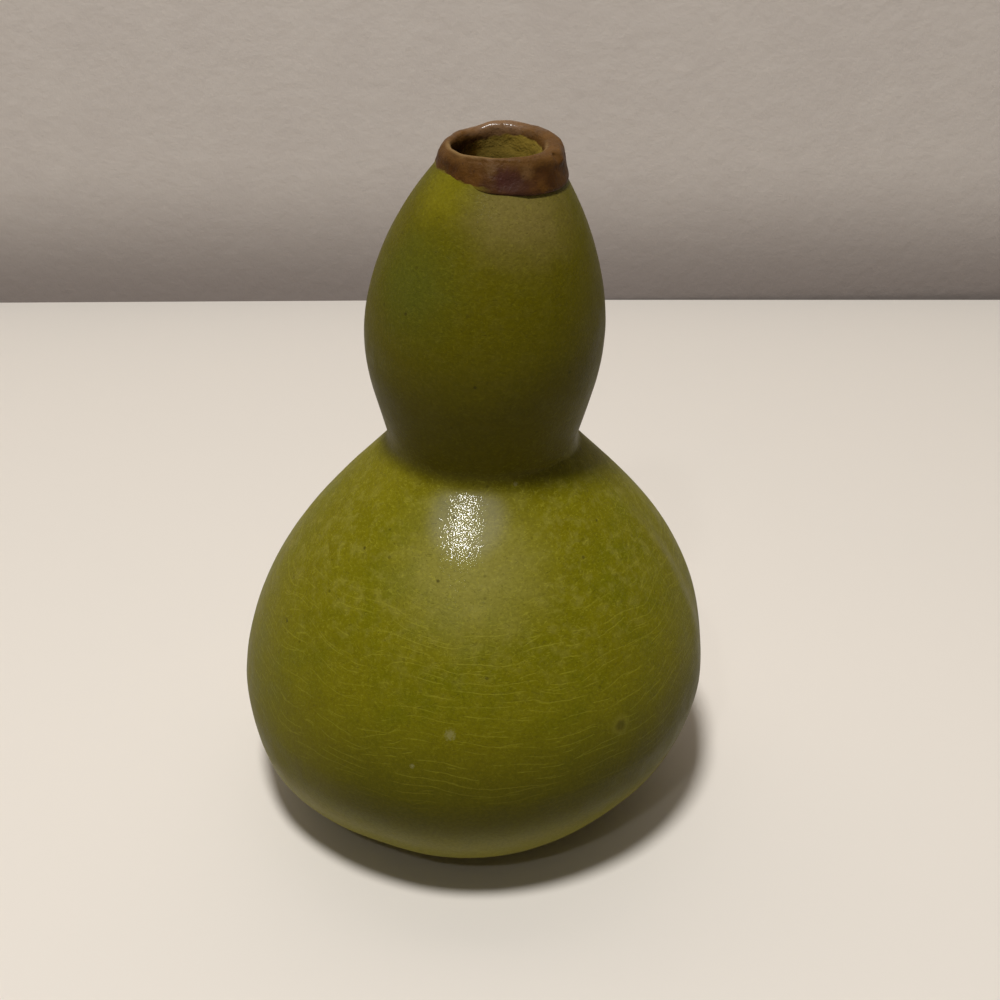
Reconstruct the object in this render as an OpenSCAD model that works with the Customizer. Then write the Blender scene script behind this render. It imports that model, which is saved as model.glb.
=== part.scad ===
// Gourd vase: a stoneware bud vase of two chambers, thrown in sections and luted together by hand.
// The axis leans like a grown gourd, and each wall is a loft of rings that follow that lean.
// Millimetres, +Z up. The origin lies on the table under the middle of the belly.

/* [Foot] */
// Outer radius of the turned foot ring
foot_r = 29.5; // [24:0.5:34]
// Width of the foot ring's bearing face
foot_w = 4.5; // [3:0.5:8]
// How far the bowl's flat underside reaches past the foot ring
foot_set = 1; // [0.5:0.1:3]
// Height of the foot ring
foot_h = 2.5; // [1.5:0.5:5]
// Width of the bevels on the foot ring's lower edges
foot_bevel = 0.6; // [0.2:0.1:1]

/* [Lower chamber] */
// Radius of the belly at its widest
belly_r = 48.3; // [42:0.1:56]
// Height of the belly's widest ring, where the bowl and the shoulder meet
belly_z = 27.5; // [22:0.5:34]
// Thickness of the floor
floor_t = 4.5; // [3:0.5:7]

/* [Waist] */
// Radius at the waist, where the shoulder meets the upper bulb
waist_r = 18.2; // [15:0.1:24]
// Height of the waist
waist_z = 80.6; // [70:0.1:90]
// Reach of the waist coil's smoothed edges along both walls
waist_reach = 2.6; // [1.5:0.1:5]

/* [Upper chamber] */
// Radius of the upper bulb at its crown
crown_r = 22.9; // [20:0.1:28]
// Height of the crown
crown_z = 104; // [98:0.5:112]
// Radius at the neck, where the lip is set on
neck_r = 11.3; // [10.6:0.1:14]
// Height of the neck's cut edge, halfway round
neck_z = 136; // [125:0.5:150]
// How far the neck is cut lower on the right than halfway round
neck_tilt = 1; // [0:0.1:2]

/* [Lip] */
// Outer radius of the rim
rim_r = 11.1; // [9.8:0.1:13]
// Radius of the mouth
mouth_r = 8.1; // [6:0.1:9]
// Height of the rim above the neck's cut edge
lip_h = 4; // [3:0.1:8]
// How much wider the throat below the mouth is
throat_flare = 0.6; // [0.3:0.1:1.5]
// How far the rim is rounded over
rim_round = 0.9; // [0.4:0.1:1.1]
// How far the mouth sits to the left of the lip's middle
mouth_shift = 0.5; // [0:0.1:0.8]
// How far the lip's skirt laps down over the neck
lip_lap = 1.1; // [0.8:0.1:3]
// How far the skirt stands proud of the bulb
lip_proud = 0.45; // [0.2:0.05:1]
// How far the lip's wall swells between the skirt and the rim
lip_swell = 0.15; // [0:0.05:0.5]
// Height of the finger-pinched bump at the back of the rim
rim_bump = 0.9; // [0:0.1:2]

/* [Clay] */
// Thickness of the thrown walls
wall = 3; // [2.4:0.1:4]
// Height of the stepped tongue in the two luted joints
step_h = 2; // [1:0.5:3]
// Half height of the luting coil pressed into the belly joint
belly_coil_h = 4; // [2:0.5:6]
// How far the belly coil stands out from the inside wall
belly_coil_t = 2.2; // [1:0.1:4]

/* [Hand forming] */
// Sideways place of the axis at the table
lean_foot = -2.6; // [-5:0.1:0]
// Sideways pull of the axis through the lower chamber
lean_low = 0.9; // [-2:0.1:3]
// Sideways pull of the axis at the waist
lean_waist = 4; // [0:0.1:6]
// Sideways pull of the axis through the upper chamber
lean_high = -0.3; // [-3:0.1:3]
// Sideways place of the axis at the rim
lean_rim = 5.5; // [0:0.1:9]
// How far the chambers are out of round, as a share of the radius
oval = 0.004; // [0:0.001:0.02]
// Height of the ripples along the skirt's lower edge
skirt_ripple = 0.25; // [0:0.05:0.5]

/* [Hidden] */
sides = 60;
under_steps = 8;
shoulder_steps = 12;
bulb_steps = 6;
crown_steps = 10;
coil_steps = 5;

// Headings of the meridian, in degrees outwards from straight up
under_rise = 87;
shoulder_fall = -40;
bulb_rise = 15;
neck_fall = -33.7;

// Where the belly is widest, in degrees round from the right
oval_turn = 40;
// Where fingers pressed the soft wall in, or out where the depth is negative: angle, height, depth, spread
presses = [
    [246, 7, 0.9, 12], [260, 7, -0.65, 24], [283, 6, -0.35, 12], [313, 9, 0.45, 10],
    [213, 13, -0.65, 10], [188, 25, -0.2, 9], [356, 37, 0.5, 8], [28, 72, 0.3, 9]
];
// Angle of the bump at the back of the rim, and how many degrees it spreads
bump_turn = 88;
bump_spread = 24;

// Heights of the belly joint on the inside, of the rim, and of the start of the bulb's straight neck
lute_z = belly_z + step_h;
rim_z = neck_z + lip_h;
neck_start = neck_z - neck_tilt - lip_lap - 2 * skirt_ripple;

// How far up the skirt's lower edge is rolled under
skirt_roll = rim_round / 2;

function sum(list) = list * [for (x = list) 1];
function backwards(path) = [for (i = [len(path) - 1:-1:0]) path[i]];
function past_first(path) = [for (i = [1:len(path) - 1]) path[i]];
function before_last(path) = [for (i = [0:len(path) - 2]) path[i]];
function between(path, low, high) = [for (p = path) if (p[1] > low && p[1] < high) p];

function heading(angle) = [sin(angle), cos(angle)];

// A point of the smooth curve that a row of places pulls, at share t of its way
function curve_point(pulls, t) = len(pulls) == 1 ? pulls[0] :
    curve_point([for (i = [1:len(pulls) - 1]) (1 - t) * pulls[i - 1] + t * pulls[i]], t);

// A path from p to q that leaves and arrives on two headings, each held for a share of the chord
function curve(p, from, hold_p, q, to, hold_q, steps) =
    let (chord = norm(q - p), c = [p, p + chord * hold_p * heading(from), q - chord * hold_q * heading(to), q])
    [for (i = [0:steps]) curve_point(c, i / steps)];

// A path set in towards the axis, square to its own direction
function inset(path, depth) = [for (i = [0:len(path) - 1])
    let (way = path[min(i + 1, len(path) - 1)] - path[max(i - 1, 0)])
    path[i] - depth * [way[1], -way[0]] / norm(way)];

// The leaning axis, and the wall as the hand left it
function lean(z) = curve_point([lean_foot, lean_low, lean_waist, lean_high, lean_rim], z / rim_z);

function turn_from(a, b) = (a - b + 540) % 360 - 180;

function pressed(a, z) = sum([for (p = presses)
    let (sideways = belly_r * turn_from(a, p[0]) * PI / 180, upwards = z - p[1])
    p[2] * exp(-(sideways * sideways + upwards * upwards) / (p[3] * p[3]))]);

function wall_point(a, r, z) =
    let (reach = r * (1 + oval * cos(2 * (a - oval_turn))) - pressed(a, z))
    [lean(z) + reach * cos(a), reach * sin(a), z];

function angles() = [for (j = [0:sides - 1]) j * 360 / sides];
function level_ring(p) = [for (a = angles()) wall_point(a, p[0], p[1])];
function level_rings(path) = [for (p = path) level_ring(p)];

// The neck is cut aslant, and the lip's skirt ends in a rippled edge below the cut
function neck_wall(z) = neck_r + (z - neck_z) * tan(neck_fall);
function neck_cut(a) = neck_z - neck_tilt * cos(a);
function ripple(a) = skirt_ripple * (cos(2 * a - 109) + 0.4 * cos(3 * a + 113) + 0.2 * cos(5 * a - 30));
function skirt_edge(a) = neck_cut(a) - lip_lap + ripple(a);

function cut_ring(depth) = [for (a = angles())
    let (z = neck_cut(a)) wall_point(a, neck_wall(z) - depth, z)];
function throat_ring() = [for (a = angles())
    wall_point(a, mouth_r + throat_flare, neck_cut(a)) - [mouth_shift, 0, 0]];
function skirt_ring(proud, rise) = [for (a = angles())
    let (z = skirt_edge(a) + rise) wall_point(a, neck_wall(z) + proud, z)];

function rim_top(a) = rim_z + rim_bump * exp(-pow(turn_from(a, bump_turn) / bump_spread, 2));
function rim_ring(r, drop, shift) = [for (a = angles())
    wall_point(a, r, rim_top(a) - drop) - [shift, 0, 0]];

// The ring halfway up the lip's outer wall
function swell_ring(low, high) = [for (j = [0:sides - 1])
    let (a = j * 360 / sides)
    (low[j] + high[j]) / 2 + lip_swell * [cos(a), sin(a), 0]];

// A stepped joint between two thrown sections: half of the wall's thickness stands up or hangs as a tongue
function joint(r, z, step) =
    [[r, z], [r - wall / 2, z], [r - wall / 2, z + step], [r - wall, z + step]];

// How high a ring lies, with its width deciding between rings of one height
function rank(ring) = sum([for (p = ring) p[2]]) / len(ring) + norm(ring[0] - ring[sides / 2]) / 1000;

// Facets between two rings. The diagonal follows the rings' rank alone,
// so two pieces that share both rings also share every facet between them.
function band(i, k, rising) = [for (j = [0:sides - 1])
    let (m = (j + 1) % sides, a = i * sides + j, b = i * sides + m, c = k * sides + j, d = k * sides + m)
    each (rising ? [[a, c, d], [a, d, b]] : [[a, c, b], [c, d, b]])];

function bands(rings, count) = [for (i = [0:count - 1])
    let (k = (i + 1) % len(rings)) each band(i, k, rank(rings[k]) > rank(rings[i]))];

// A ring of clay: the last of its rings joins the first
module clay_ring(rings) {
    polyhedron(points = [for (r = rings) each r], faces = bands(rings, len(rings)));
}

// A bowl of clay: its first and last rings are closed flat, as underside and floor
module clay_bowl(rings) {
    count = len(rings);
    underside = [for (j = [0:sides - 1]) j];
    floor_top = [for (j = [1:sides]) count * sides - j];
    polyhedron(points = [for (r = rings) each r],
        faces = concat(bands(rings, count - 1), [underside, floor_top]));
}

belly_joint = joint(belly_r, belly_z, step_h);
waist_joint = joint(waist_r, waist_z, -step_h);

// Both walls run straight for the waist coil's reach on their way from the waist's corner
waist_corner = [waist_r, waist_z];
waist_below = waist_corner - waist_reach * heading(shoulder_fall);
waist_above = waist_corner + waist_reach * heading(bulb_rise);

module foot_ring() {
    color("tan")
    translate([lean(foot_h), 0, 0])
    rotate_extrude($fn = 96)
    polygon([
        [foot_r - foot_w, foot_h], [foot_r - foot_w, foot_bevel], [foot_r - foot_w + foot_bevel, 0],
        [foot_r - foot_bevel, 0], [foot_r, foot_bevel], [foot_r, foot_h]
    ]);
}

module lower_bowl() {
    outside = curve([foot_r + foot_set, foot_h], under_rise, 0.53, [belly_r, belly_z], 0, 0.1, under_steps);
    inside = curve([foot_r + foot_set - wall, foot_h + floor_t], under_rise, 0.53,
        [belly_r - wall, lute_z - belly_coil_h], 0, 0.1, under_steps);
    color("olivedrab")
    clay_bowl(level_rings(concat(before_last(outside), belly_joint, backwards(inside))));
}

module belly_coil() {
    seat = [for (i = [-1:1]) [belly_r - wall, lute_z + i * belly_coil_h]];
    face = [for (i = [1:coil_steps]) let (a = 90 - i * 180 / (coil_steps + 1))
        [belly_r - wall - belly_coil_t * cos(a), lute_z + belly_coil_h * sin(a)]];
    color("darkkhaki")
    clay_ring(level_rings(concat(seat, face)));
}

module shoulder() {
    outside = curve([belly_r, belly_z], 0, 0.41, waist_below, shoulder_fall, 0.23, shoulder_steps);
    coil_top = [belly_r - wall, lute_z + belly_coil_h];
    inside = between(inset(outside, wall), coil_top[1] + 1, waist_z - step_h - 1);
    color("olivedrab")
    clay_ring(level_rings(concat(outside, waist_joint, backwards(inside), [coil_top],
        backwards(past_first(belly_joint)))));
}

module waist_coil() {
    face = [for (i = [0:coil_steps]) let (t = i / coil_steps)
        pow(1 - t, 2) * waist_below + 2 * t * (1 - t) * waist_corner + t * t * waist_above];
    color("olive")
    clay_ring(level_rings(concat(face, [waist_corner])));
}

module upper_bulb() {
    side = curve(waist_above, bulb_rise, 0.57, [crown_r, crown_z], 0, 0.29, bulb_steps);
    top = curve([crown_r, crown_z], 0, 0.19, [neck_wall(neck_start), neck_start], neck_fall, 0.45, crown_steps);
    outside = concat([waist_corner], side, past_first(top));
    inside = between(inset(outside, wall), waist_z + 0.5, neck_start);
    color("yellowgreen")
    clay_ring(concat(level_rings(outside), [skirt_ring(0, 0), cut_ring(0), throat_ring()],
        level_rings(concat(backwards(inside), backwards(past_first(waist_joint))))));
}

module lip_ring() {
    skirt_top = skirt_ring(lip_proud, skirt_roll);
    rim_foot = rim_ring(rim_r, rim_round, 0);
    color("saddlebrown")
    clay_ring([
        skirt_ring(0, 0),
        skirt_ring(0.8 * lip_proud, 0.2 * skirt_roll),
        skirt_top,
        swell_ring(skirt_top, rim_foot),
        rim_foot,
        rim_ring(rim_r - 0.3 * rim_round, 0.3 * rim_round, 0),
        rim_ring(rim_r - rim_round, 0, 0),
        rim_ring(mouth_r + 0.7 * rim_round, 0, mouth_shift),
        rim_ring(mouth_r + 0.1 * rim_round, 0.5 * rim_round, mouth_shift),
        rim_ring(mouth_r, 1.2 * rim_round, mouth_shift),
        throat_ring(),
        cut_ring(0)
    ]);
}

foot_ring();
lower_bowl();
belly_coil();
shoulder();
waist_coil();
upper_bulb();
lip_ring();
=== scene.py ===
from math import atan2, comb, cos, exp, hypot, pi, radians, sin, tan

import bpy
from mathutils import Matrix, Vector, noise


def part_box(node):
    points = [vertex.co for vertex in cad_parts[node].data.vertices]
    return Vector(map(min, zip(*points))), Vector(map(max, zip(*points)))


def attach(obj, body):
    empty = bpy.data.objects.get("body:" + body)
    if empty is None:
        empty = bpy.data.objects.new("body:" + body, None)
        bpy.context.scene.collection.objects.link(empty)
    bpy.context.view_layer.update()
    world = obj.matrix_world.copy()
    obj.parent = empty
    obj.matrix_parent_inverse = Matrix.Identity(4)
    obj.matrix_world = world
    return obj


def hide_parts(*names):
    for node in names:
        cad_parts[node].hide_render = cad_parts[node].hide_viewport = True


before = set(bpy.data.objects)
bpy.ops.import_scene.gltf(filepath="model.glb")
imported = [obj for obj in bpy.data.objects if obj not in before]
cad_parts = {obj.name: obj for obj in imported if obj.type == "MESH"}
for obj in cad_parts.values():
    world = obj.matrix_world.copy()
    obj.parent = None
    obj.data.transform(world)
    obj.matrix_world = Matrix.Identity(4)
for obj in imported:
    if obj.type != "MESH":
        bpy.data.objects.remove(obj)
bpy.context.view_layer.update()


# ---- Camera ----
# It looks down on the vase from a hand's height above the rim, square to the wall behind. Nothing is out of
# focus, and colours are shown as they are.

bpy.ops.object.select_all(action="DESELECT")
bpy.ops.object.camera_add(location=(0.00535, -0.2744, 0.2359), rotation=(radians(58.15), 0, 0))
camera = bpy.context.object
camera.name = "camera"
camera.data.lens = 57.6
camera.data.clip_start = 0.01
bpy.context.scene.camera = camera
bpy.context.scene.view_settings.view_transform = "Standard"


# ---- Foot ring ----
# The turned ring that the vase stands on: bare stoneware, cut from the bowl's base on the wheel,
# with its edges wiped round so that they don't scratch a table.

foot_low, foot_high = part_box("foot_ring")
foot_h = foot_high.z
foot_r = (foot_high.x - foot_low.x) / 2
foot_w = 0.0045
foot_round = 0.0006
same_place = 1e-6
points_round = 96
bpy.context.tool_settings.mesh_select_mode = (False, True, False)


def draw_clay(name, rings):
    """Draws a wall from ring to ring, each (radius, height), and leaves the last ring selected."""
    bpy.ops.object.select_all(action="DESELECT")
    radius, height = rings[0]
    bpy.ops.mesh.primitive_circle_add(vertices=points_round, radius=radius, location=(0, 0, height))
    piece = bpy.context.object
    piece.name = piece.data.name = name
    bpy.ops.object.transform_apply(location=True, rotation=False, scale=False)
    bpy.ops.object.mode_set(mode="EDIT")
    bpy.ops.mesh.select_all(action="SELECT")
    for wider, higher in rings[1:]:
        bpy.ops.mesh.extrude_region_move(TRANSFORM_OT_translate={"value": (0, 0, higher - height)})
        bpy.ops.transform.resize(value=(wider / radius, wider / radius, 1), center_override=(0, 0, higher))
        radius, height = wider, higher
    return piece


def draw_ring_of_clay(name, rings):
    """A wall whose last ring comes back to its first."""
    piece = draw_clay(name, rings + rings[:1])
    bpy.ops.mesh.select_all(action="SELECT")
    bpy.ops.mesh.remove_doubles(threshold=same_place)
    bpy.ops.mesh.normals_make_consistent(inside=False)
    bpy.ops.object.mode_set(mode="OBJECT")
    return piece


def keep_crisp(piece, corners):
    """Creases the edges that run round the piece at these (radius, height) corners."""
    def on_corner(vertex):
        place = hypot(vertex.co.x, vertex.co.y), vertex.co.z
        return any(hypot(place[0] - r, place[1] - z) < 10 * same_place for r, z in corners)

    bpy.ops.object.mode_set(mode="EDIT")
    bpy.ops.mesh.select_all(action="DESELECT")
    bpy.ops.object.mode_set(mode="OBJECT")
    kept = {v.index for v in piece.data.vertices if on_corner(v)}
    for edge in piece.data.edges:
        a, b = (piece.data.vertices[i] for i in edge.vertices)
        level = abs(a.co.z - b.co.z) < same_place
        round_axis = abs(hypot(a.co.x, a.co.y) - hypot(b.co.x, b.co.y)) < same_place
        edge.select = a.index in kept and b.index in kept and level and round_axis
    bpy.ops.object.mode_set(mode="EDIT")
    bpy.ops.transform.edge_crease(value=1)
    bpy.ops.object.mode_set(mode="OBJECT")


def shape_by(piece, hand):
    """Moves each point of a piece to where the hand leaves it."""
    for vertex in piece.data.vertices:
        vertex.co = hand(vertex.co)


def smooth_clay(piece, levels):
    """Rounds the drawn rings into a smooth wall."""
    smoothing = piece.modifiers.new("smoothed", "SUBSURF")
    smoothing.levels = smoothing.render_levels = levels
    bpy.ops.object.select_all(action="DESELECT")
    piece.select_set(True)
    bpy.context.view_layer.objects.active = piece
    bpy.ops.object.modifier_apply(modifier=smoothing.name)


def add(tree, kind, inputs, **settings):
    """A node with its settings, and each input linked to a socket or set to a value."""
    made = tree.nodes.new(kind)
    for name, value in settings.items():
        setattr(made, name, value)
    for name, value in inputs.items():
        if isinstance(value, bpy.types.NodeSocket):
            tree.links.new(value, made.inputs[name])
        else:
            made.inputs[name].default_value = value
    return made.outputs


def blend(tree, share, first, second, mode="MIX"):
    """A colour between two colours."""
    return add(tree, "ShaderNodeMix", {0: share, 6: first, 7: second}, data_type="RGBA", blend_type=mode)[2]


def ramp(tree, value, low, high, to_low=0.0, to_high=1.0):
    """A value carried smoothly from one range into another."""
    return add(tree, "ShaderNodeMapRange", {"Value": value, "From Min": low, "From Max": high,
        "To Min": to_low, "To Max": to_high}, interpolation_type="SMOOTHSTEP")["Result"]


def reckon(tree, operation, first, second=0.0):
    """A sum, product or other reckoning of two values."""
    return add(tree, "ShaderNodeMath", {0: first, 1: second}, operation=operation)["Value"]


def new_group(name, inputs, outputs):
    """An empty node group with named sockets, with its inside ends."""
    group = bpy.data.node_groups.new(name, "ShaderNodeTree")
    for label, kind, value in inputs:
        socket = group.interface.new_socket(label, in_out="INPUT", socket_type=kind)
        if value is not None:
            socket.default_value = value
    for label, kind in outputs:
        group.interface.new_socket(label, in_out="OUTPUT", socket_type=kind)
    return group, group.nodes.new("NodeGroupInput").outputs, group.nodes.new("NodeGroupOutput").inputs


# Grain: clay and glaze are never one even tone. A slow drift, a mottle and a fine grain.
grain, at, out = new_group("grain",
    [("Place", "NodeSocketVector", None), ("Mottle Size", "NodeSocketFloat", 0.003),
     ("Grain Size", "NodeSocketFloat", 0.0005)],
    [("Drift", "NodeSocketFloat"), ("Mottle", "NodeSocketFloat"), ("Grain", "NodeSocketFloat")])
per_mottle = reckon(grain, "DIVIDE", 1.0, at["Mottle Size"])
per_grain = reckon(grain, "DIVIDE", 1.0, at["Grain Size"])
drift = add(grain, "ShaderNodeTexNoise", {"Vector": at["Place"], "Scale": 45.0, "Detail": 2.0})
mottle = add(grain, "ShaderNodeTexNoise", {"Vector": at["Place"], "Scale": per_mottle, "Detail": 4.0})
fine = add(grain, "ShaderNodeTexNoise", {"Vector": at["Place"], "Scale": per_grain, "Detail": 2.0})
grain.links.new(drift[0], out["Drift"])
grain.links.new(mottle[0], out["Mottle"])
grain.links.new(fine[0], out["Grain"])


def new_material(name, colour):
    """A material with its shader and its object coordinates; the plain colour is for the viewport."""
    material = bpy.data.materials.new(name)
    material.use_nodes = True
    material.diffuse_color = colour
    tree = material.node_tree
    place = add(tree, "ShaderNodeTexCoord", {})["Object"]
    return material, tree, tree.nodes["Principled BSDF"], place


bare_clay, tree, shader, place = new_material("bare_clay", (0.42, 0.31, 0.21, 1))
tones = add(tree, "ShaderNodeGroup", {"Place": place, "Mottle Size": 0.002, "Grain Size": 0.0003}, node_tree=grain)
colour = blend(tree, tones["Mottle"], (0.34, 0.24, 0.155, 1), (0.52, 0.40, 0.28, 1))
sooty = ramp(tree, tones["Grain"], 0.62, 0.72)
colour = blend(tree, reckon(tree, "MULTIPLY", sooty, 0.6), colour, (0.12, 0.08, 0.05, 1))
tree.links.new(colour, shader.inputs["Base Color"])
shader.inputs["Roughness"].default_value = 0.85
bump = add(tree, "ShaderNodeBump", {"Height": tones["Grain"], "Strength": 0.5, "Distance": 0.0001})["Normal"]
tree.links.new(bump, shader.inputs["Normal"])

foot_axis = (foot_high.x + foot_low.x) / 2
foot = draw_ring_of_clay("foot", [
    (foot_r, foot_h), (foot_r, 0.6 * foot_h), (foot_r, foot_round), (foot_r - 0.3 * foot_round, 0.3 * foot_round),
    (foot_r - foot_round, 0), (foot_r - 1.5 * foot_round, 0), (foot_r - foot_w / 2, 0),
    (foot_r - foot_w + 1.5 * foot_round, 0), (foot_r - foot_w + foot_round, 0),
    (foot_r - foot_w + 0.3 * foot_round, 0.3 * foot_round),
    (foot_r - foot_w, foot_round), (foot_r - foot_w, 0.6 * foot_h), (foot_r - foot_w, foot_h),
])
keep_crisp(foot, [(foot_r, foot_h), (foot_r - foot_w, foot_h)])
shape_by(foot, lambda p: Vector((p.x + foot_axis, p.y, p.z)))
smooth_clay(foot, 1)
sharp = radians(40)
bpy.ops.object.shade_smooth_by_angle(angle=sharp)
foot.data.materials.append(bare_clay)
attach(foot, "root")
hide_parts("foot_ring")


# ---- Lower bowl ----
# Thrown bowl with the floor, up to the belly's widest ring, where half of its rim stands up as a tongue.
# Its axis already leans, and fingers have left shallow presses in the soft wall.

wall = 0.003
step_h = 0.002
floor_t = 0.0045
belly_r = 0.0483
belly_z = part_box("lower_bowl")[1].z - step_h
belly_coil_h = 0.004
rim_bump = 0.0009
rim_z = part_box("lip_ring")[1].z - rim_bump
axis_pulls = (-0.0026, 0.0009, 0.004, -0.0003, 0.0055)
oval, oval_turn = 0.004, radians(80)
# Finger presses: angle round the axis in degrees, height, depth and spread
presses = ((246, 0.007, 0.0009, 0.012), (260, 0.007, -0.00065, 0.024), (283, 0.006, -0.00035, 0.012),
    (313, 0.009, 0.00045, 0.010), (213, 0.013, -0.00065, 0.010), (188, 0.025, -0.0002, 0.009),
    (356, 0.037, 0.0005, 0.008), (28, 0.072, 0.0003, 0.009))


def lean(height):
    """How far the leaning axis has moved sideways at a height."""
    share = height / rim_z
    return sum(comb(4, i) * (1 - share) ** (4 - i) * share ** i * pull for i, pull in enumerate(axis_pulls))


def turned_by(angle, degrees):
    """How far an angle is turned from a heading in degrees, the short way round."""
    return (angle - radians(degrees) + pi) % (2 * pi) - pi


def by_hand(p):
    """Where the hand left a point of the evenly thrown wall."""
    angle, reach = atan2(p.y, p.x), hypot(p.x, p.y)
    reach *= 1 + oval * cos(2 * angle - oval_turn)
    for turn, height, depth, spread in presses:
        sideways = belly_r * turned_by(angle, turn)
        reach -= depth * exp(-(sideways ** 2 + (p.z - height) ** 2) / spread ** 2)
    return Vector((lean(p.z) + reach * cos(angle), reach * sin(angle), p.z))


ridge = (346, 0.053, 0.00028, 0.0024)
hollow = (355.5, 0.054, -0.00055, 0.0038)
thumb_high = 0.0135
axis_core = 0.001


def from_lean(p):
    """The level way out to a point from the leaning axis."""
    return Vector((p.x - lean(p.z), p.y, 0))


def kneaded(p):
    """The ridge and hollow that a thumb left on the shoulder, and the slight unevenness under the glaze."""
    out = from_lean(p)
    if out.length < axis_core:
        return p
    ease = 0.00009 * (noise.noise(p * 75) - 0.5) + 0.00003 * (noise.noise(p * 260) - 0.5)
    for turn, height, push, spread in (ridge, hollow):
        sideways = out.length * turned_by(atan2(out.y, out.x), turn)
        ease += push * exp(-(sideways / spread) ** 2 - ((p.z - height) / thumb_high) ** 2)
    return p + out.normalized() * ease


def heading(degrees):
    """A direction in the wall's section, in degrees outwards from straight up."""
    return Vector((sin(radians(degrees)), cos(radians(degrees))))


def curve(start, leaving, hold, end, arriving, hold_end, shares):
    """Rings along a smooth path that leaves one ring and reaches another on two headings."""
    p, q = Vector(start), Vector(end)
    chord = (q - p).length
    a, b = p + chord * hold * heading(leaving), q - chord * hold_end * heading(arriving)
    return [tuple((1 - t) ** 3 * p + 3 * (1 - t) ** 2 * t * a + 3 * (1 - t) * t * t * b + t ** 3 * q) for t in shares]


def finish_clay(piece, levels, corners):
    """Forms, smooths and kneads a drawn wall, with its hidden joints crisp."""
    keep_crisp(piece, corners)
    shape_by(piece, by_hand)
    smooth_clay(piece, levels)
    shape_by(piece, kneaded)
    bpy.ops.object.shade_smooth_by_angle(angle=sharp)


def glazed(piece, node):
    """A piece that stands for its solid: it is hung on the root body and the solid is hidden."""
    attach(piece, "root")
    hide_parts(node)


# Spot: a stain, patch or speck with a ragged, soft edge round one place on the surface.
spot, at, out = new_group("spot",
    [("Place", "NodeSocketVector", None), ("Centre", "NodeSocketVector", None), ("Size", "NodeSocketFloat", 0.01),
     ("Softness", "NodeSocketFloat", 0.5), ("Raggedness", "NodeSocketFloat", 0.3)],
    [("Mask", "NodeSocketFloat")])
away = add(spot, "ShaderNodeVectorMath", {0: at["Place"], 1: at["Centre"]}, operation="DISTANCE")["Value"]
share_out = reckon(spot, "DIVIDE", away, at["Size"])
per_spot = reckon(spot, "DIVIDE", 2.2, at["Size"])
ragged = add(spot, "ShaderNodeTexNoise", {"Vector": at["Place"], "Scale": per_spot, "Detail": 4.0})[0]
ragged = reckon(spot, "SUBTRACT", ragged, 0.5)
ragged = reckon(spot, "MULTIPLY", ragged, reckon(spot, "MULTIPLY", at["Raggedness"], 3.0))
share_out = reckon(spot, "ADD", share_out, ragged)
full = reckon(spot, "SUBTRACT", 1.0, at["Softness"])
none = reckon(spot, "ADD", 1.0, at["Softness"])
spot.links.new(ramp(spot, share_out, full, none, 1.0, 0.0), out["Mask"])


def spotted(tree, place, colour, centre, size, strength, tint, softness, raggedness=0.3):
    """A colour with one spot of another tint laid over it."""
    mask = add(tree, "ShaderNodeGroup", {"Place": place, "Centre": centre, "Size": size, "Softness": softness,
        "Raggedness": raggedness}, node_tree=spot)["Mask"]
    return blend(tree, reckon(tree, "MULTIPLY", mask, strength), colour, tint)


# Satin olive glaze over the whole vase. It lies thicker on the bulb and in the waist and is painted darker there,
# partly painted shade. It has patches where it ran thin or took up iron from the lip, and two of painted highlight.
green_glaze, tree, shader, place = new_material("green_glaze", (0.2, 0.17, 0.01, 1))
tones = add(tree, "ShaderNodeGroup", {"Place": place, "Mottle Size": 0.0045, "Grain Size": 0.0006}, node_tree=grain)
axes = add(tree, "ShaderNodeSeparateXYZ", {"Vector": place})
height = axes["Z"]
colour = blend(tree, ramp(tree, tones["Drift"], 0.3, 0.7), (0.154, 0.147, 0.0020, 1), (0.179, 0.155, 0.0020, 1))
colour = blend(tree, ramp(tree, tones["Mottle"], 0.35, 0.65, 0.0, 0.8), colour, (0.191, 0.170, 0.0032, 1))
khaki = add(tree, "ShaderNodeTexNoise", {"Vector": place, "Scale": 400.0, "Detail": 3.0, "Roughness": 0.6})[0]
khaki = reckon(tree, "MULTIPLY", ramp(tree, khaki, 0.45, 0.68), ramp(tree, height, 0.040, 0.064, 0.0, 0.48))
colour = blend(tree, khaki, colour, (0.266, 0.240, 0.036, 1))
# Darker on the upper bulb: partly thicker glaze, partly painted shade on the bulb, which turns away from the overhead
# lamp
waver = reckon(tree, "MULTIPLY", reckon(tree, "SUBTRACT", tones["Drift"], 0.5), 0.012)
thick_and_shaded = ramp(tree, reckon(tree, "ADD", height, waver), 0.0755, 0.0830)
colour = blend(tree, reckon(tree, "MULTIPLY", thick_and_shaded, 0.80), colour, (0.095, 0.078, 0.0009, 1))
# The pale patches round the shoulder's highlight and under the lip at the right are painted highlight; the others are
# where the glaze ran thin or took up iron from the lip
for centre, size, strength, tint in (
        ((0.0000, -0.0290, 0.0680), 0.0110, 0.55, (0.320, 0.285, 0.070, 1)),
        ((0.0098, -0.0128, 0.1325), 0.0085, 0.60, (0.230, 0.175, 0.055, 1)),
        ((-0.0105, -0.0144, 0.1191), 0.0080, 0.55, (0.085, 0.100, 0.012, 1)),
        ((-0.0046, -0.0085, 0.1340), 0.0050, 0.55, (0.215, 0.185, 0.008, 1)),
        ((-0.0139, -0.0094, 0.0785), 0.0070, 0.50, (0.230, 0.200, 0.008, 1))):
    colour = spotted(tree, place, colour, centre, size, strength, tint, 0.8)
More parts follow.
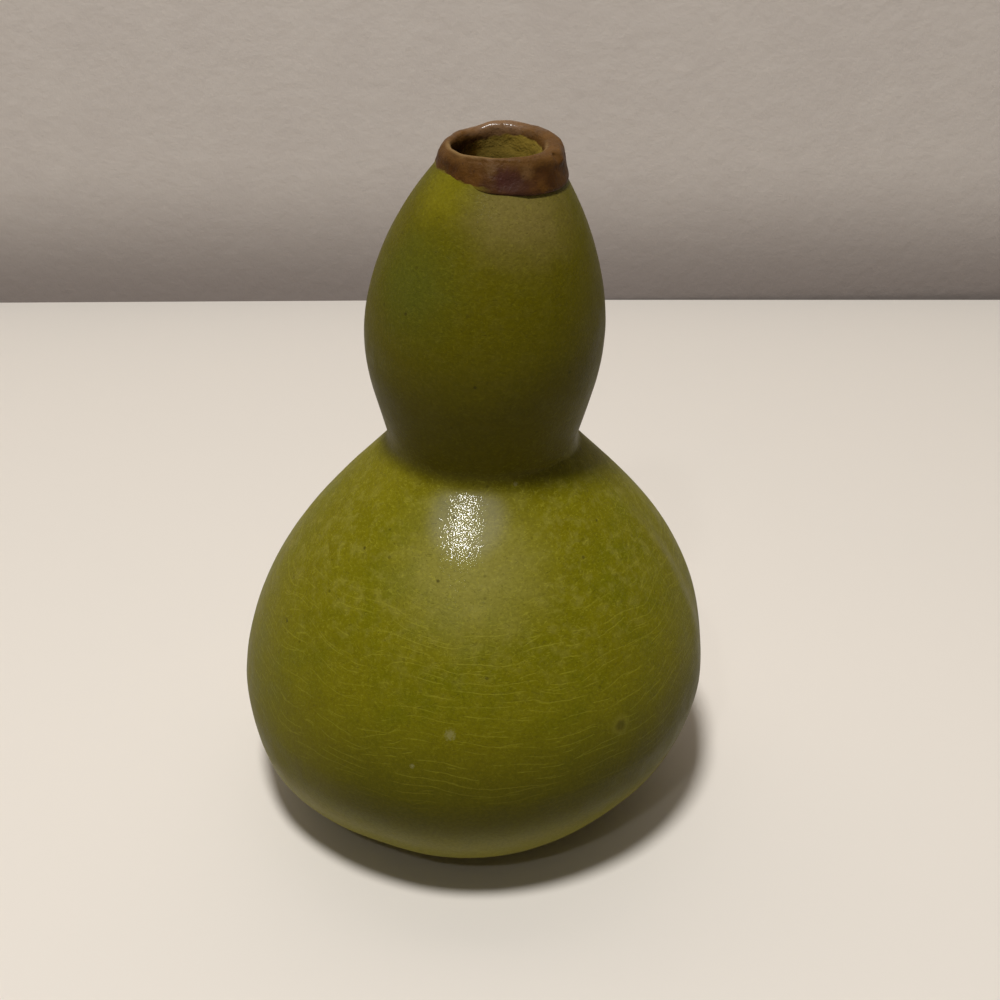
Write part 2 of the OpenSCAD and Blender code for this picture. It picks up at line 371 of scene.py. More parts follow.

# Streaks of run glaze low on the bowl, a darker band under the belly that is painted shade, and a paler foot that is
# a painted reflection of the shelf
run = add(tree, "ShaderNodeMapping", {"Vector": place, "Scale": (260.0, 260.0, 14.0)})["Vector"]
run = ramp(tree, add(tree, "ShaderNodeTexNoise", {"Vector": run, "Scale": 1.0, "Detail": 3.0})[0], 0.45, 0.65)
run = reckon(tree, "MULTIPLY", run, ramp(tree, height, 0.045, 0.015, 0.05, 0.30))
colour = blend(tree, run, colour, (0.120, 0.105, 0.003, 1))
# Painted shade under the belly, kept lighter at the left as a painted sheen
low = reckon(tree, "MULTIPLY", ramp(tree, height, 0.046, 0.026, 0.0, 0.75), ramp(tree, height, 0.010, 0.021))
low = reckon(tree, "MULTIPLY", low, ramp(tree, axes["X"], -0.038, -0.018, 0.2, 1.0))
colour = blend(tree, low, colour, (0.090, 0.080, 0.0012, 1))
# Painted reflection of the pale shelf: the glaze is paler towards the foot
colour = blend(tree, ramp(tree, height, 0.024, 0.008, 0.0, 0.72), colour, (0.400, 0.362, 0.075, 1))


# Crazing: pale hairlines, long and nearly level round the belly, and short curling threads all over
def hairlines(tree, place, spacing, tilt, bend, breaks, kept):
    """Fine lines at a spacing, tilted and bent, and broken into short lengths."""
    axes = add(tree, "ShaderNodeSeparateXYZ", {"Vector": place})
    slope = reckon(tree, "ADD", axes["Z"], reckon(tree, "MULTIPLY", axes["X"], tilt))
    slow = add(tree, "ShaderNodeTexNoise", {"Vector": place, "Scale": 55.0, "Detail": 1.0})[0]
    quick = add(tree, "ShaderNodeTexNoise", {"Vector": place, "Scale": 300.0, "Detail": 2.0})[0]
    bent = reckon(tree, "ADD", reckon(tree, "MULTIPLY", slow, bend), reckon(tree, "MULTIPLY", quick, 0.0008))
    count = reckon(tree, "DIVIDE", reckon(tree, "ADD", slope, bent), spacing)
    off = reckon(tree, "ABSOLUTE", reckon(tree, "SUBTRACT", reckon(tree, "FRACT", count), 0.5))
    line = ramp(tree, off, 0.00001 / spacing, 0.00014 / spacing, 1.0, 0.0)
    lengths = add(tree, "ShaderNodeMapping", {"Vector": place, "Location": (tilt, 0.3, 0.0),
        "Scale": breaks})["Vector"]
    lengths = add(tree, "ShaderNodeTexNoise", {"Vector": lengths, "Scale": 1.0, "Detail": 2.0})[0]
    return reckon(tree, "MULTIPLY", line, ramp(tree, lengths, kept, kept + 0.08))


def threads(tree, place, size, width, kept):
    """Short fine curling lines, each a stretch of a contour in a noise, and lying nearly level."""
    flat = add(tree, "ShaderNodeMapping", {"Vector": place, "Location": (width, size, 0.0),
        "Scale": (1 / size, 1 / size, 1.7 / size)})["Vector"]
    field = add(tree, "ShaderNodeTexNoise", {"Vector": flat, "Scale": 1.0, "Detail": 1.5, "Distortion": 0.6})[0]
    off = reckon(tree, "ABSOLUTE", reckon(tree, "SUBTRACT", field, 0.5))
    breaks = add(tree, "ShaderNodeTexNoise", {"Vector": flat, "Scale": 1.9, "Detail": 2.0})[0]
    return reckon(tree, "MULTIPLY", ramp(tree, off, 0.0, width, 1.0, 0.0), ramp(tree, breaks, kept, kept + 0.08))


close_lines = hairlines(tree, place, 0.0016, 0.04, 0.007, (120.0, 120.0, 520.0), 0.48)
wide_lines = hairlines(tree, place, 0.0023, -0.09, 0.010, (150.0, 150.0, 440.0), 0.50)
level_lines = reckon(tree, "MAXIMUM", close_lines, wide_lines)
on_belly = reckon(tree, "MULTIPLY", ramp(tree, height, 0.022, 0.034), ramp(tree, height, 0.070, 0.056))
level_lines = reckon(tree, "MULTIPLY", level_lines, on_belly)
curls = reckon(tree, "MAXIMUM", threads(tree, place, 0.0021, 0.028, 0.46),
    threads(tree, place, 0.0013, 0.035, 0.48))
curls = reckon(tree, "MULTIPLY", curls, ramp(tree, height, 0.018, 0.062, 0.15, 0.9))
curls = reckon(tree, "MULTIPLY", curls, ramp(tree, height, 0.078, 0.088, 1.0, 0.35))
crazing = reckon(tree, "MAXIMUM", level_lines, curls)
colour = blend(tree, reckon(tree, "MULTIPLY", crazing, 0.30), colour, (0.42, 0.39, 0.035, 1))
seams = threads(tree, place, 0.0017, 0.030, 0.50)
seams = reckon(tree, "MULTIPLY", seams, ramp(tree, height, 0.018, 0.050, 0.2, 1.0))
colour = blend(tree, reckon(tree, "MULTIPLY", seams, 0.36), colour, (0.085, 0.072, 0.003, 1))

# Pores: dark pinholes where gas broke through, most of them on the shoulder, and fine grain in the glaze
pore = add(tree, "ShaderNodeTexVoronoi", {"Vector": place, "Scale": 330.0})
lot = add(tree, "ShaderNodeSeparateColor", {"Color": pore["Color"]})["Red"]
pore = reckon(tree, "MULTIPLY", ramp(tree, pore["Distance"], 0.07, 0.15, 1.0, 0.0), ramp(tree, lot, 0.70, 0.95))
pore = reckon(tree, "MULTIPLY", pore, ramp(tree, height, 0.030, 0.060, 0.15, 0.6))
colour = blend(tree, pore, colour, (0.060, 0.050, 0.003, 1))
colour = blend(tree, ramp(tree, tones["Grain"], 0.35, 0.65, 0.0, 0.35), colour, (0.62, 0.60, 0.5, 1), "MULTIPLY")
for centre in ((-0.0204, -0.0203, 0.0673), (-0.0062, -0.0299, 0.0663), (-0.0365, -0.0196, 0.0496),
        (0.0240, -0.0156, 0.0706), (0.0009, -0.0228, 0.1030), (-0.0113, -0.0160, 0.1142)):
    colour = spotted(tree, place, colour, centre, 0.00032, 0.7, (0.04, 0.03, 0.003, 1), 0.5, 0.3)

# One pit with a pale rim, and two grains of ash stuck in the glaze
pit = (0.0286, -0.0377, 0.0381)
colour = spotted(tree, place, colour, pit, 0.0022, 0.30, (0.26, 0.23, 0.03, 1), 0.3, 0.2)
colour = spotted(tree, place, colour, pit, 0.0011, 0.65, (0.070, 0.058, 0.003, 1), 0.4, 0.2)
for centre, size in (((-0.0039, -0.0455, 0.0424), 0.0009), ((-0.0111, -0.0461, 0.0354), 0.0004),
        ((0.0082, -0.0177, 0.0800), 0.0004)):
    colour = spotted(tree, place, colour, centre, size, 0.45, (0.33, 0.30, 0.13, 1), 0.5, 0.8)


mouth_x = 0.0048


def from_mouth(tree, place):
    """The distance from the upright line through the middle of the mouth."""
    axes = add(tree, "ShaderNodeSeparateXYZ", {"Vector": place})
    sideways = reckon(tree, "SUBTRACT", axes["X"], mouth_x)
    out = add(tree, "ShaderNodeCombineXYZ", {"X": sideways, "Y": axes["Y"]})[0]
    return add(tree, "ShaderNodeVectorMath", {0: out}, operation="LENGTH")["Value"]


def inside_mouth(tree, place, colour):
    """A colour with the thin yellow glaze laid over it that runs down inside the mouth, under a wavy edge; the glaze
    is painted lighter at the right and darker at the left, as painted light and shade.
    """
    axes = add(tree, "ShaderNodeSeparateXYZ", {"Vector": place})
    reach = from_mouth(tree, place)
    beyond = reckon(tree, "SUBTRACT", reach, ramp(tree, axes["Z"], 0.1348, 0.1364, 0.0108, 0.0095))
    wave = add(tree, "ShaderNodeTexNoise", {"Vector": place, "Scale": 230.0, "Detail": 3.0})[0]
    level = reckon(tree, "ADD", axes["Z"], reckon(tree, "MULTIPLY", wave, 0.0030))
    level = reckon(tree, "ADD", level, ramp(tree, axes["X"], 0.005, -0.003, 0.0, 0.0016))
    within = reckon(tree, "MULTIPLY", ramp(tree, beyond, 0.0002, -0.0002), ramp(tree, level, 0.1403, 0.1398))
    within = reckon(tree, "MULTIPLY", within, ramp(tree, axes["Z"], 0.124, 0.128))
    patchy_lit_and_shaded = blend(tree, ramp(tree, wave, 0.35, 0.65), (0.130, 0.068, 0.006, 1), (0.300, 0.205, 0.040, 1))
    # Painted light on the right of the inside and painted shade on the left
    patchy_lit_and_shaded = blend(tree, ramp(tree, axes["X"], 0.002, 0.010, 0.0, 0.6), patchy_lit_and_shaded, (0.420, 0.300, 0.050, 1))
    patchy_lit_and_shaded = blend(tree, ramp(tree, axes["X"], 0.003, -0.002, 0.0, 0.6), patchy_lit_and_shaded, (0.080, 0.028, 0.003, 1))
    return blend(tree, within, colour, patchy_lit_and_shaded)


colour = inside_mouth(tree, place, colour)
tree.links.new(colour, shader.inputs["Base Color"])

# The glaze's body is satin, with every line of the crazing to be felt. Its thin glassy skin is glossiest on the
# shoulder, and so finely pebbled that a lamp breaks up into sparks on it.
tree.links.new(ramp(tree, tones["Mottle"], 0.3, 0.7, 0.42, 0.52), shader.inputs["Roughness"])
skin = reckon(tree, "SUBTRACT", tones["Grain"], reckon(tree, "MULTIPLY", crazing, 0.5))
skin = reckon(tree, "ADD", skin, reckon(tree, "MULTIPLY", seams, -0.6))
bump = add(tree, "ShaderNodeBump", {"Height": skin, "Strength": 0.5, "Distance": 0.00010})["Normal"]
pebbles = add(tree, "ShaderNodeTexNoise", {"Vector": place, "Scale": 3100.0, "Detail": 1.0})[0]
pebbled = add(tree, "ShaderNodeBump", {"Height": pebbles, "Strength": 1.0, "Distance": 0.000032,
    "Normal": bump})["Normal"]
tree.links.new(pebbled, shader.inputs["Normal"])
pebbled = add(tree, "ShaderNodeBump", {"Height": pebbles, "Strength": 1.0, "Distance": 0.000056})["Normal"]
tree.links.new(pebbled, shader.inputs["Coat Normal"])
gloss_at = (-0.0010, -0.0232, 0.0756)
from_gloss = add(tree, "ShaderNodeVectorMath", {0: place, 1: gloss_at}, operation="DISTANCE")["Value"]
glossy = reckon(tree, "MULTIPLY", ramp(tree, from_gloss, 0.0105, 0.0035), ramp(tree, height, 0.0805, 0.0775))
glossy = reckon(tree, "MAXIMUM", glossy, ramp(tree, height, 0.030, 0.012, 0.0, 0.16))
tree.links.new(ramp(tree, glossy, 0.0, 1.0, 0.008, 1.0), shader.inputs["Coat Weight"])
shader.inputs["Coat Roughness"].default_value = 0.06
shader.inputs["Coat IOR"].default_value = 2.4
shader.inputs["Specular IOR Level"].default_value = 0.06

lute_z = belly_z + step_h
belly_joint = [(belly_r, belly_z), (belly_r - wall / 2, belly_z), (belly_r - wall / 2, lute_z),
    (belly_r - wall, lute_z)]
foot_set = 0.001
base_r = foot_r + foot_set
hub_r = 0.002
outside = curve((base_r, foot_h), 87, 0.53, (belly_r, belly_z), 0, 0.1,
    [0, 0.06, 0.14, 0.24, 0.35, 0.47, 0.6, 0.72, 0.84, 0.93, 0.98])
inside = curve((base_r - wall, foot_h + floor_t), 87, 0.53, (belly_r - wall, lute_z - belly_coil_h), 0, 0.1,
    [0.98, 0.9, 0.78, 0.64, 0.5, 0.36, 0.22, 0.1, 0])
bowl = draw_clay("bowl_wall", [(r, foot_h) for r in (hub_r, 0.009, 0.018, foot_r - foot_w, foot_r)] + outside
    + belly_joint + [(belly_r - wall, lute_z - belly_coil_h)] + inside
    + [(r, foot_h + floor_t) for r in (0.022, 0.015, 0.008, hub_r)])
bpy.ops.mesh.edge_face_add()
bpy.ops.mesh.select_all(action="DESELECT")
bpy.ops.object.mode_set(mode="OBJECT")
for edge in bowl.data.edges:
    ends = [bowl.data.vertices[i].co for i in edge.vertices]
    edge.select = all(abs(hypot(p.x, p.y) - hub_r) < same_place and abs(p.z - foot_h) < same_place for p in ends)
bpy.ops.object.mode_set(mode="EDIT")
bpy.ops.mesh.edge_face_add()
bpy.ops.mesh.select_all(action="SELECT")
bpy.ops.mesh.normals_make_consistent(inside=False)
bpy.ops.object.mode_set(mode="OBJECT")
finish_clay(bowl, 2, belly_joint)
bowl.data.materials.append(green_glaze)
glazed(bowl, "lower_bowl")


# ---- Belly coil ----
# A soft coil of the same clay that lutes bowl and shoulder together. A finger pressed it over the inside of the
# belly joint while the waist was still open, and it was glazed with the wall.

belly_coil_t = 0.0022
coil = draw_ring_of_clay("luting_coil", [(belly_r - wall, lute_z - belly_coil_h), (belly_r - wall, lute_z),
    (belly_r - wall, lute_z + belly_coil_h)] + [(belly_r - wall - belly_coil_t * cos(radians(a)),
    lute_z + belly_coil_h * sin(radians(a))) for a in (65, 40, 15, -15, -40, -65)])
finish_clay(coil, 2, [(belly_r - wall, lute_z - belly_coil_h), (belly_r - wall, lute_z + belly_coil_h)])
coil.data.materials.append(green_glaze)
glazed(coil, "belly_coil")


# ---- Shoulder ----
# The upper half of the lower chamber, thrown upside down as a second bowl and set on the tongue of the first.
# It closes in to the waist in a long even slope.

waist_r = 0.0182
waist_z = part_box("shoulder")[1].z
waist_reach = 0.0026
waist_corner = (waist_r, waist_z)
waist_below = tuple(Vector(waist_corner) - waist_reach * heading(-40))
waist_above = tuple(Vector(waist_corner) + waist_reach * heading(15))


def inset(path, depth):
    """The same path, set in towards the axis."""
    moved = []
    for i, point in enumerate(path):
        way = (Vector(path[min(i + 1, len(path) - 1)]) - Vector(path[max(i - 1, 0)])).normalized()
        moved.append((point[0] - depth * way.y, point[1] + depth * way.x))
    return moved


waist_joint = [waist_corner, (waist_r - wall / 2, waist_z), (waist_r - wall / 2, waist_z - step_h),
    (waist_r - wall, waist_z - step_h)]
outside = curve((belly_r, belly_z), 0, 0.41, waist_below, -40, 0.23,
    [0, 0.006, 0.03, 0.08, 0.16, 0.25, 0.34, 0.43, 0.52, 0.61, 0.7, 0.79, 0.87, 0.94, 0.98, 1])
coil_top = (belly_r - wall, lute_z + belly_coil_h)
inside = [p for p in inset(outside, wall) if coil_top[1] + 0.001 < p[1] < waist_z - step_h - 0.001]
shoulder = draw_ring_of_clay("shoulder_wall", outside + waist_joint + inside[::-1] + [coil_top] + belly_joint[:0:-1])
finish_clay(shoulder, 2, waist_joint + [coil_top, waist_below] + belly_joint)
shoulder.data.materials.append(green_glaze)
glazed(shoulder, "shoulder")


# ---- Upper bulb ----
# The thrown upper chamber, set into the step of the waist. It swells to a low crown and runs in
# to a straight neck, cut aslant where the lip is set on.

crown = (0.0229, 0.104)
neck_r, neck_z = 0.0113, 0.136
neck_fall = -33.7
mouth_r, throat_flare, mouth_shift = 0.0081, 0.0002, 0.0005
lip_lap = 0.0011
neck_start = 0.1334
bump_turn, bump_spread = 88, radians(24)
inner_reach, neck_thick = 0.0087, 0.0026


def neck_wall(height):
    """Radius of the straight neck at a height."""
    return neck_r + (height - neck_z) * tan(radians(neck_fall))


def edge_rise(angle):
    """How far the neck's cut and the skirt's edge above it rise or fall round the neck."""
    return -0.001 * cos(angle) + 0.00025 * (cos(2 * angle - radians(109))
        + 0.4 * cos(3 * angle + radians(113)) + 0.2 * cos(5 * angle - radians(30)))


def rim_rise(angle):
    """How far the rim rises or falls round the mouth."""
    return rim_bump * exp(-(turned_by(angle, bump_turn) / bump_spread) ** 2)


def part_way(value, start, length):
    """How far a value has come along a stretch, from 0 to 1."""
    return min(1, max(0, (value - start) / length))


def settled(p):
    """Where the aslant neck and the uneven rim leave a point of the evenly drawn neck and lip."""
    angle, reach = atan2(p.y, p.x), hypot(p.x, p.y)
    skirt = neck_z - lip_lap
    up = part_way(p.z, neck_start, skirt - neck_start)
    top = part_way(p.z, skirt, rim_z - skirt)
    outer = part_way(reach, inner_reach, neck_thick)
    rise = up * (1 - top) * edge_rise(angle)
    reach += rise * tan(radians(neck_fall)) * outer
    return Vector((reach * cos(angle) - up * (1 - outer) * mouth_shift, reach * sin(angle),
        p.z + rise + top * rim_rise(angle)))


side = curve(waist_above, 15, 0.57, crown, 0, 0.29, [0, 0.04, 0.12, 0.25, 0.4, 0.55, 0.7, 0.85])
top = curve(crown, 0, 0.19, (neck_wall(neck_start), neck_start), neck_fall, 0.45,
    [0, 0.08, 0.17, 0.27, 0.37, 0.47, 0.57, 0.67, 0.77, 0.87, 0.95, 1])
outside = [waist_corner] + side + top
neck_inside = [(0.0083, 0.1350), (0.0084, 0.1338), (0.0086, 0.1325), (0.0092, 0.1310), (0.0103, 0.1290)]
inside = [p for p in inset(outside, wall) if waist_z + 0.0005 < p[1] < 0.1275]
skirt_edge, cut_edge = (neck_wall(neck_z - lip_lap), neck_z - lip_lap), (neck_r, neck_z)
throat = (mouth_r + throat_flare, neck_z)
bulb = draw_ring_of_clay("bulb_wall", outside + [skirt_edge, cut_edge, throat] + neck_inside + inside[::-1]
    + waist_joint[:0:-1])
keep_crisp(bulb, waist_joint + [waist_above, cut_edge, throat])
shape_by(bulb, lambda p: by_hand(settled(p)))
smooth_clay(bulb, 2)
shape_by(bulb, kneaded)
bpy.ops.object.shade_smooth_by_angle(angle=sharp)
bulb.data.materials.append(green_glaze)
glazed(bulb, "upper_bulb")


# ---- Waist coil ----
# A thin coil of the same clay, smoothed with a wet finger into the crease where the bulb meets the shoulder. It
# covers the stepped joint, and a pinch has left a fold in it at the right.

face = []
for t in (0, 0.08, 0.2, 0.35, 0.5, 0.65, 0.8, 0.92, 1):
    face.append(tuple((1 - t) ** 2 * Vector(waist_below) + 2 * t * (1 - t) * Vector(waist_corner)
        + t * t * Vector(waist_above)))
waist_coil = draw_ring_of_clay("crease_coil", face + [waist_corner])
finish_clay(waist_coil, 2, [waist_below, waist_above, waist_corner])


fold_turn, fold_long = 322, 17
fold_start, fold_start_z, fold_fall = 306, 0.0812, 0.00004
fold_depth, fold_high = 0.0006, 0.0008
skin_depth, skin_t = 0.0012, 0.0008


def folded(p):
    """Where the pinched fold at the right of the crease draws the coil's surface in."""
    out = from_lean(p)
    turn = (atan2(out.y, out.x) % (2 * pi)) / radians(1)
    fold_z = fold_start_z - fold_fall * (turn - fold_start)
    along = exp(-((turn - fold_turn) / fold_long) ** 2)
    surface = part_way(out.length, waist_r - skin_depth, skin_t)
    drawn = fold_depth * exp(-((p.z - fold_z) / fold_high) ** 2)
    return p - out.normalized() * drawn * along * surface


shape_by(waist_coil, folded)
waist_coil.data.materials.append(green_glaze)
glazed(waist_coil, "waist_coil")


# ---- Lip ----
# A ring of iron-brown clay set on the cut neck and pinched up by hand, thin in front and thick at the right. Its
# skirt is lapped down over the green wall, and fingers and iron have left their marks on it.

brown_lip, tree, shader, place = new_material("brown_lip", (0.1, 0.045, 0.015, 1))
tones = add(tree, "ShaderNodeGroup", {"Place": place, "Mottle Size": 0.0022, "Grain Size": 0.0004}, node_tree=grain)
axes = add(tree, "ShaderNodeSeparateXYZ", {"Vector": place})
height = axes["Z"]
colour = blend(tree, ramp(tree, tones["Mottle"], 0.3, 0.7), (0.047, 0.0165, 0.0017, 1), (0.092, 0.037, 0.005, 1))
colour = blend(tree, ramp(tree, height, 0.1376, 0.1398, 0.0, 0.45), colour, (0.142, 0.069, 0.018, 1))
# Dark iron stains in front and small pale patches; the dark spot in the fold at the right and the faint one along the
# skirt's lower edge at the right are painted shade, and the pale patch on the back of the rim is painted highlight
# for its glints
for centre, size, strength, tint in (
        ((0.0064, -0.0111, 0.1372), 0.0020, 0.75, (0.050, 0.014, 0.012, 1)),
        ((0.0086, -0.0114, 0.1355), 0.0027, 0.8, (0.042, 0.014, 0.008, 1)),
        ((0.0030, -0.0118, 0.1360), 0.0016, 0.5, (0.045, 0.018, 0.010, 1)),
        ((0.0125, -0.0086, 0.1374), 0.0013, 0.55, (0.036, 0.012, 0.003, 1)),
        ((0.0150, -0.0070, 0.1345), 0.0022, 0.2, (0.042, 0.014, 0.003, 1)),
        ((0.0050, 0.0105, 0.1400), 0.0050, 0.6, (0.215, 0.120, 0.058, 1)),
        ((0.0102, -0.0099, 0.1382), 0.0011, 0.6, (0.140, 0.072, 0.024, 1)),
        ((0.0036, -0.0106, 0.1390), 0.0010, 0.5, (0.130, 0.070, 0.024, 1)),
        ((-0.0052, -0.0060, 0.1352), 0.0018, 0.5, (0.120, 0.080, 0.008, 1))):
    colour = spotted(tree, place, colour, centre, size, strength, tint, 0.7, 0.5)
sooty = ramp(tree, tones["Grain"], 0.60, 0.72, 0.0, 0.5)
colour = blend(tree, sooty, colour, (0.03, 0.012, 0.004, 1))

# The rim's inner edge in front is painted pale, a painted highlight along the edge
wear_and_highlight = ramp(tree, from_mouth(tree, place), 0.0094, 0.0088)
wear_and_highlight = reckon(tree, "MULTIPLY", wear_and_highlight, ramp(tree, height, 0.1391, 0.1397))
wear_and_highlight = reckon(tree, "MULTIPLY", wear_and_highlight, ramp(tree, axes["Y"], 0.003, -0.002, 0.0, 0.6))
colour = blend(tree, wear_and_highlight, colour, (0.23, 0.14, 0.05, 1))
colour = inside_mouth(tree, place, colour)

# At the left the green glaze has run up over the skirt's thin edge
lapped = reckon(tree, "ADD", height, reckon(tree, "MULTIPLY", axes["X"], 0.083))
lapped = reckon(tree, "ADD", lapped, reckon(tree, "MULTIPLY", tones["Mottle"], 0.0016))
lapped = reckon(tree, "MULTIPLY", ramp(tree, lapped, 0.1371, 0.1367), ramp(tree, axes["X"], 0.0045, -0.0005))
colour = blend(tree, lapped, colour, (0.165, 0.125, 0.010, 1))
tree.links.new(colour, shader.inputs["Base Color"])
tree.links.new(ramp(tree, tones["Mottle"], 0.3, 0.7, 0.45, 0.6), shader.inputs["Roughness"])
shader.inputs["Specular IOR Level"].default_value = 0.12
glints = add(tree, "ShaderNodeTexNoise", {"Vector": place, "Scale": 1200.0, "Detail": 2.0})[0]
at_back = reckon(tree, "MULTIPLY", ramp(tree, axes["Y"], 0.002, 0.007), ramp(tree, glints, 0.40, 0.52))
tree.links.new(reckon(tree, "MULTIPLY", at_back, 0.4), shader.inputs["Coat Weight"])
shader.inputs["Coat Roughness"].default_value = 0.15
uneven = reckon(tree, "ADD", tones["Mottle"], reckon(tree, "MULTIPLY", tones["Grain"], 0.3))
bump = add(tree, "ShaderNodeBump", {"Height": uneven, "Strength": 0.6, "Distance": 0.0005})["Normal"]
tree.links.new(bump, shader.inputs["Normal"])

# Finger marks: angle round the mouth in degrees, height, how far the clay was pushed in or left standing out,
# and how wide and how high the mark is
finger_marks = ((281, 0.1366, -0.00030, 0.0017, 0.0016), (263, 0.1372, 0.00015, 0.0014, 0.0017),
    (309, 0.1376, -0.00032, 0.0013, 0.0011), (296, 0.1378, 0.00016, 0.0010, 0.0013),
    (247, 0.1362, -0.00018, 0.0012, 0.0018), (334, 0.1392, -0.00085, 0.0007, 0.0006),
    (340, 0.1381, 0.00030, 0.0012, 0.0006), (324, 0.1362, 0.00012, 0.0016, 0.0012),
    (220, 0.1376, -0.00012, 0.0014, 0.0012))


def towards(angle, degrees, tightness):
    """From 1 on a heading down to 0 a quarter turn away."""
    return max(0, cos(turned_by(angle, degrees))) ** tightness


def pinched(p):
    """Where the fingers left a point of the lip: thin in front and at the left, thick at the right."""
    out = from_lean(p)
    angle, reach = atan2(out.y, out.x), out.length
    outer = part_way(reach, 0.0086, 0.0024)
    up = part_way(p.z, 0.1352, 0.0042)
    top = part_way(p.z, 0.1380, 0.0015)
    front = towards(angle, 268, 2)
    moved = outer * up * (0.00025 * towards(angle, 20, 2) - 0.0010 * towards(angle, 228, 0.7) - 0.0005 * front)
    above = max(0, p.z - 0.1349 - edge_rise(angle))
    moved -= 0.00055 * towards(angle, 205, 0.5) * outer * max(0, 1 - above / 0.0022)
    for mark, height, push, wide, high in finger_marks:
        sideways = reach * turned_by(angle, mark)
        moved += outer * push * exp(-(sideways / wide) ** 2 - ((p.z - height) / high) ** 2)
    lumps = 0.00016 * noise.noise(p * 420) + 0.00007 * noise.noise(p * 1000)
    rise = 0.00045 * front + 0.00016 * noise.noise(p * 330)
    for turn, lift, wide in ((42, 0.00050, 26), (118, -0.00015, 14)):
        rise += lift * exp(-(turned_by(angle, turn) / radians(wide)) ** 2)
    return p + out.normalized() * (moved + (0.4 + 0.6 * outer) * lumps * up) + Vector((0, 0, top * rise))


lip = draw_ring_of_clay("lip", [skirt_edge] + [(r / 1000, z / 1000) for r, z in (
    (12.40, 134.90), (12.50, 135.12), (12.44, 135.50), (12.12, 136.30), (11.84, 137.10), (11.62, 137.90),
    (11.40, 138.70), (11.12, 139.30), (10.70, 139.72), (10.10, 139.94), (9.45, 140.00), (8.88, 139.85),
    (8.46, 139.45), (8.22, 138.80), (8.18, 137.90), (8.24, 136.90))] + [throat, (0.0098, neck_z), cut_edge])
keep_crisp(lip, [skirt_edge, throat, cut_edge])
shape_by(lip, lambda p: by_hand(settled(p)))
smooth_clay(lip, 2)
shape_by(lip, lambda p: pinched(kneaded(p)))
bpy.ops.object.shade_smooth_by_angle(angle=radians(50))
lip.data.materials.append(brown_lip)
glazed(lip, "lip_ring")


# ---- Shelf and wall ----
# A pale painted shelf in front of a grey plastered wall, with painted shade darker towards its foot. Both are seen
# through from behind, and the shelf inside the foot too, so that the base shows in a view from below. The shelf
# throws back less light than it shows, as a narrow one does.

def shown(tree):
    """1 for a ray that shows what it meets, straight or in a gloss, and 0 for one that only carries light."""
    path = add(tree, "ShaderNodeLightPath", {})
    seen = reckon(tree, "MAXIMUM", path["Is Camera Ray"], path["Is Glossy Ray"])
    return reckon(tree, "MAXIMUM", seen, path["Is Transmission Ray"])


def painted(name, colour, rough, grit, thrown):
    """Paint over a grit that shows on a sheet's front only, and the share of its light that it throws back."""
    material, tree, shader, place = new_material(name, (0.7, 0.7, 0.7, 1))
    colour = colour(tree, place)
    dim = blend(tree, 1.0, colour, (thrown, thrown, thrown, 1), "MULTIPLY")
    tree.links.new(blend(tree, shown(tree), dim, colour), shader.inputs["Base Color"])
    shader.inputs["Roughness"].default_value = rough
    uneven = add(tree, "ShaderNodeTexNoise", {"Vector": place, "Scale": 190.0, "Detail": 4.0,
        "Roughness": 0.6})[0]
    bump = add(tree, "ShaderNodeBump", {"Height": uneven, "Strength": 0.5, "Distance": grit})["Normal"]
    tree.links.new(bump, shader.inputs["Normal"])
    clear = add(tree, "ShaderNodeBsdfTransparent", {})[0]
    back = add(tree, "ShaderNodeNewGeometry", {})["Backfacing"]
    from_axis = add(tree, "ShaderNodeVectorMath", {0: place, 1: (foot_axis, 0, 0)}, operation="DISTANCE")["Value"]
    in_foot = reckon(tree, "LESS_THAN", from_axis, foot_r - foot_w / 2)
    unseen = reckon(tree, "MAXIMUM", back, in_foot)
    both = add(tree, "ShaderNodeMixShader", {0: unseen, 1: shader.outputs[0], 2: clear})[0]
    tree.links.new(both, tree.nodes["Material Output"].inputs["Surface"])
    return material


def sheet_of_paint(name, location, rotation, material):
    """A flat sheet, set in place."""
    bpy.ops.object.select_all(action="DESELECT")
    bpy.ops.mesh.primitive_grid_add(x_subdivisions=4, y_subdivisions=4, size=sheet_size, location=location,
        rotation=rotation)
    sheet = bpy.context.object
    sheet.name = name
    sheet.data.materials.append(material)
    bpy.ops.object.transform_apply(location=True, rotation=True, scale=True)


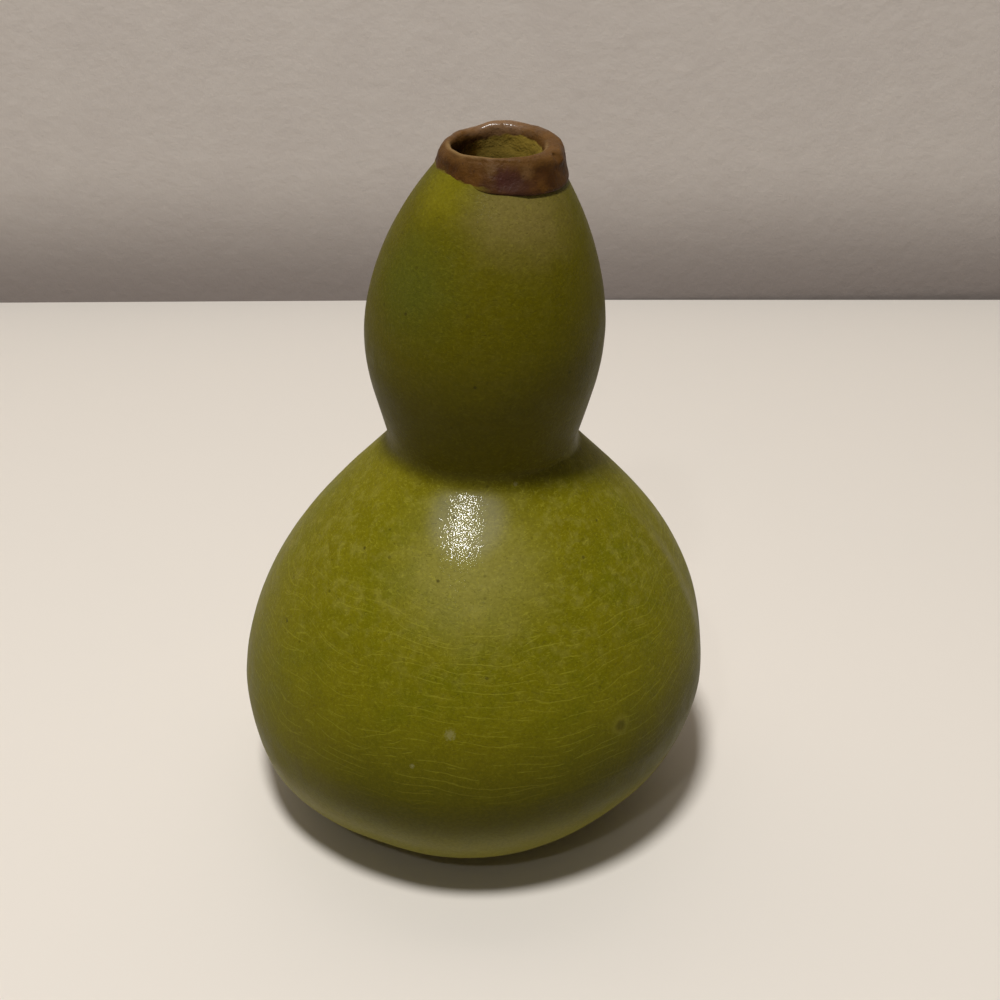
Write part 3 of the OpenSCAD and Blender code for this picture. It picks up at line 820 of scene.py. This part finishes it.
def shelf_colour(tree, place):
    """White paint, a little uneven."""
    wear_and_highlight = add(tree, "ShaderNodeTexNoise", {"Vector": place, "Scale": 9.0, "Detail": 3.0})[0]
    return blend(tree, wear_and_highlight, (0.77, 0.71, 0.635, 1), (0.75, 0.70, 0.63, 1))


def wall_colour(tree, place):
    """Grey plaster, a little uneven, and darker towards its foot: painted shade."""
    height = add(tree, "ShaderNodeSeparateXYZ", {"Vector": place})["Z"]
    plaster = add(tree, "ShaderNodeTexNoise", {"Vector": place, "Scale": 60.0, "Detail": 6.0})[0]
    colour = blend(tree, plaster, (0.690, 0.613, 0.554, 1), (0.766, 0.690, 0.620, 1))
    return blend(tree, ramp(tree, height, 0.055, 0.0), colour, (0.335, 0.284, 0.257, 1))


wall_y, wall_turn = 0.238, radians(0.8)
sheet_size = 3.0
shelf_paint = painted("shelf_paint", shelf_colour, 0.6, 0.00001, 0.52)
sheet_of_paint("shelf", (0, wall_y - sheet_size / 2, 0), (0, 0, 0), shelf_paint)
wall_paint = painted("wall_paint", wall_colour, 0.9, 0.0006, 1.0)
sheet_of_paint("wall", (0, wall_y, 1.4), (radians(90), 0, wall_turn), wall_paint)


# ---- Light ----
# A soft lamp overhead, a little in front and to the left, a small lamp farther off that lights the glaze's
# highlight, and a dim even room with a pale backdrop.

def lamp(name, place, size, power):
    """A round soft lamp, turned towards the middle of the vase."""
    bpy.ops.object.light_add(type="AREA", location=place)
    made = bpy.context.object
    made.name = name
    made.data.shape = "DISK"
    made.data.size = size
    made.data.energy = power
    made.rotation_euler = (Vector(place) - Vector((0, 0, 0.05))).to_track_quat("Z", "Y").to_euler()


lamp("overhead", (-0.10, -0.25, 1.2), 0.20, 12.1)
lamp("far_lamp", (-0.44, -1.21, 1.60), 0.11, 1.9)
room = bpy.data.worlds.new("room")
bpy.context.scene.world = room
room.use_nodes = True
tree = room.node_tree
fill, backdrop = 0.038, 0.40
background = tree.nodes["Background"]
seen = shown(tree)
strength = add(tree, "ShaderNodeMix", {0: seen, 2: fill, 3: backdrop}, data_type="FLOAT")[0]
tree.links.new(blend(tree, seen, (1, 0.84, 0.60, 1), (1, 0.94, 0.87, 1)), background.inputs["Color"])
tree.links.new(strength, background.inputs["Strength"])
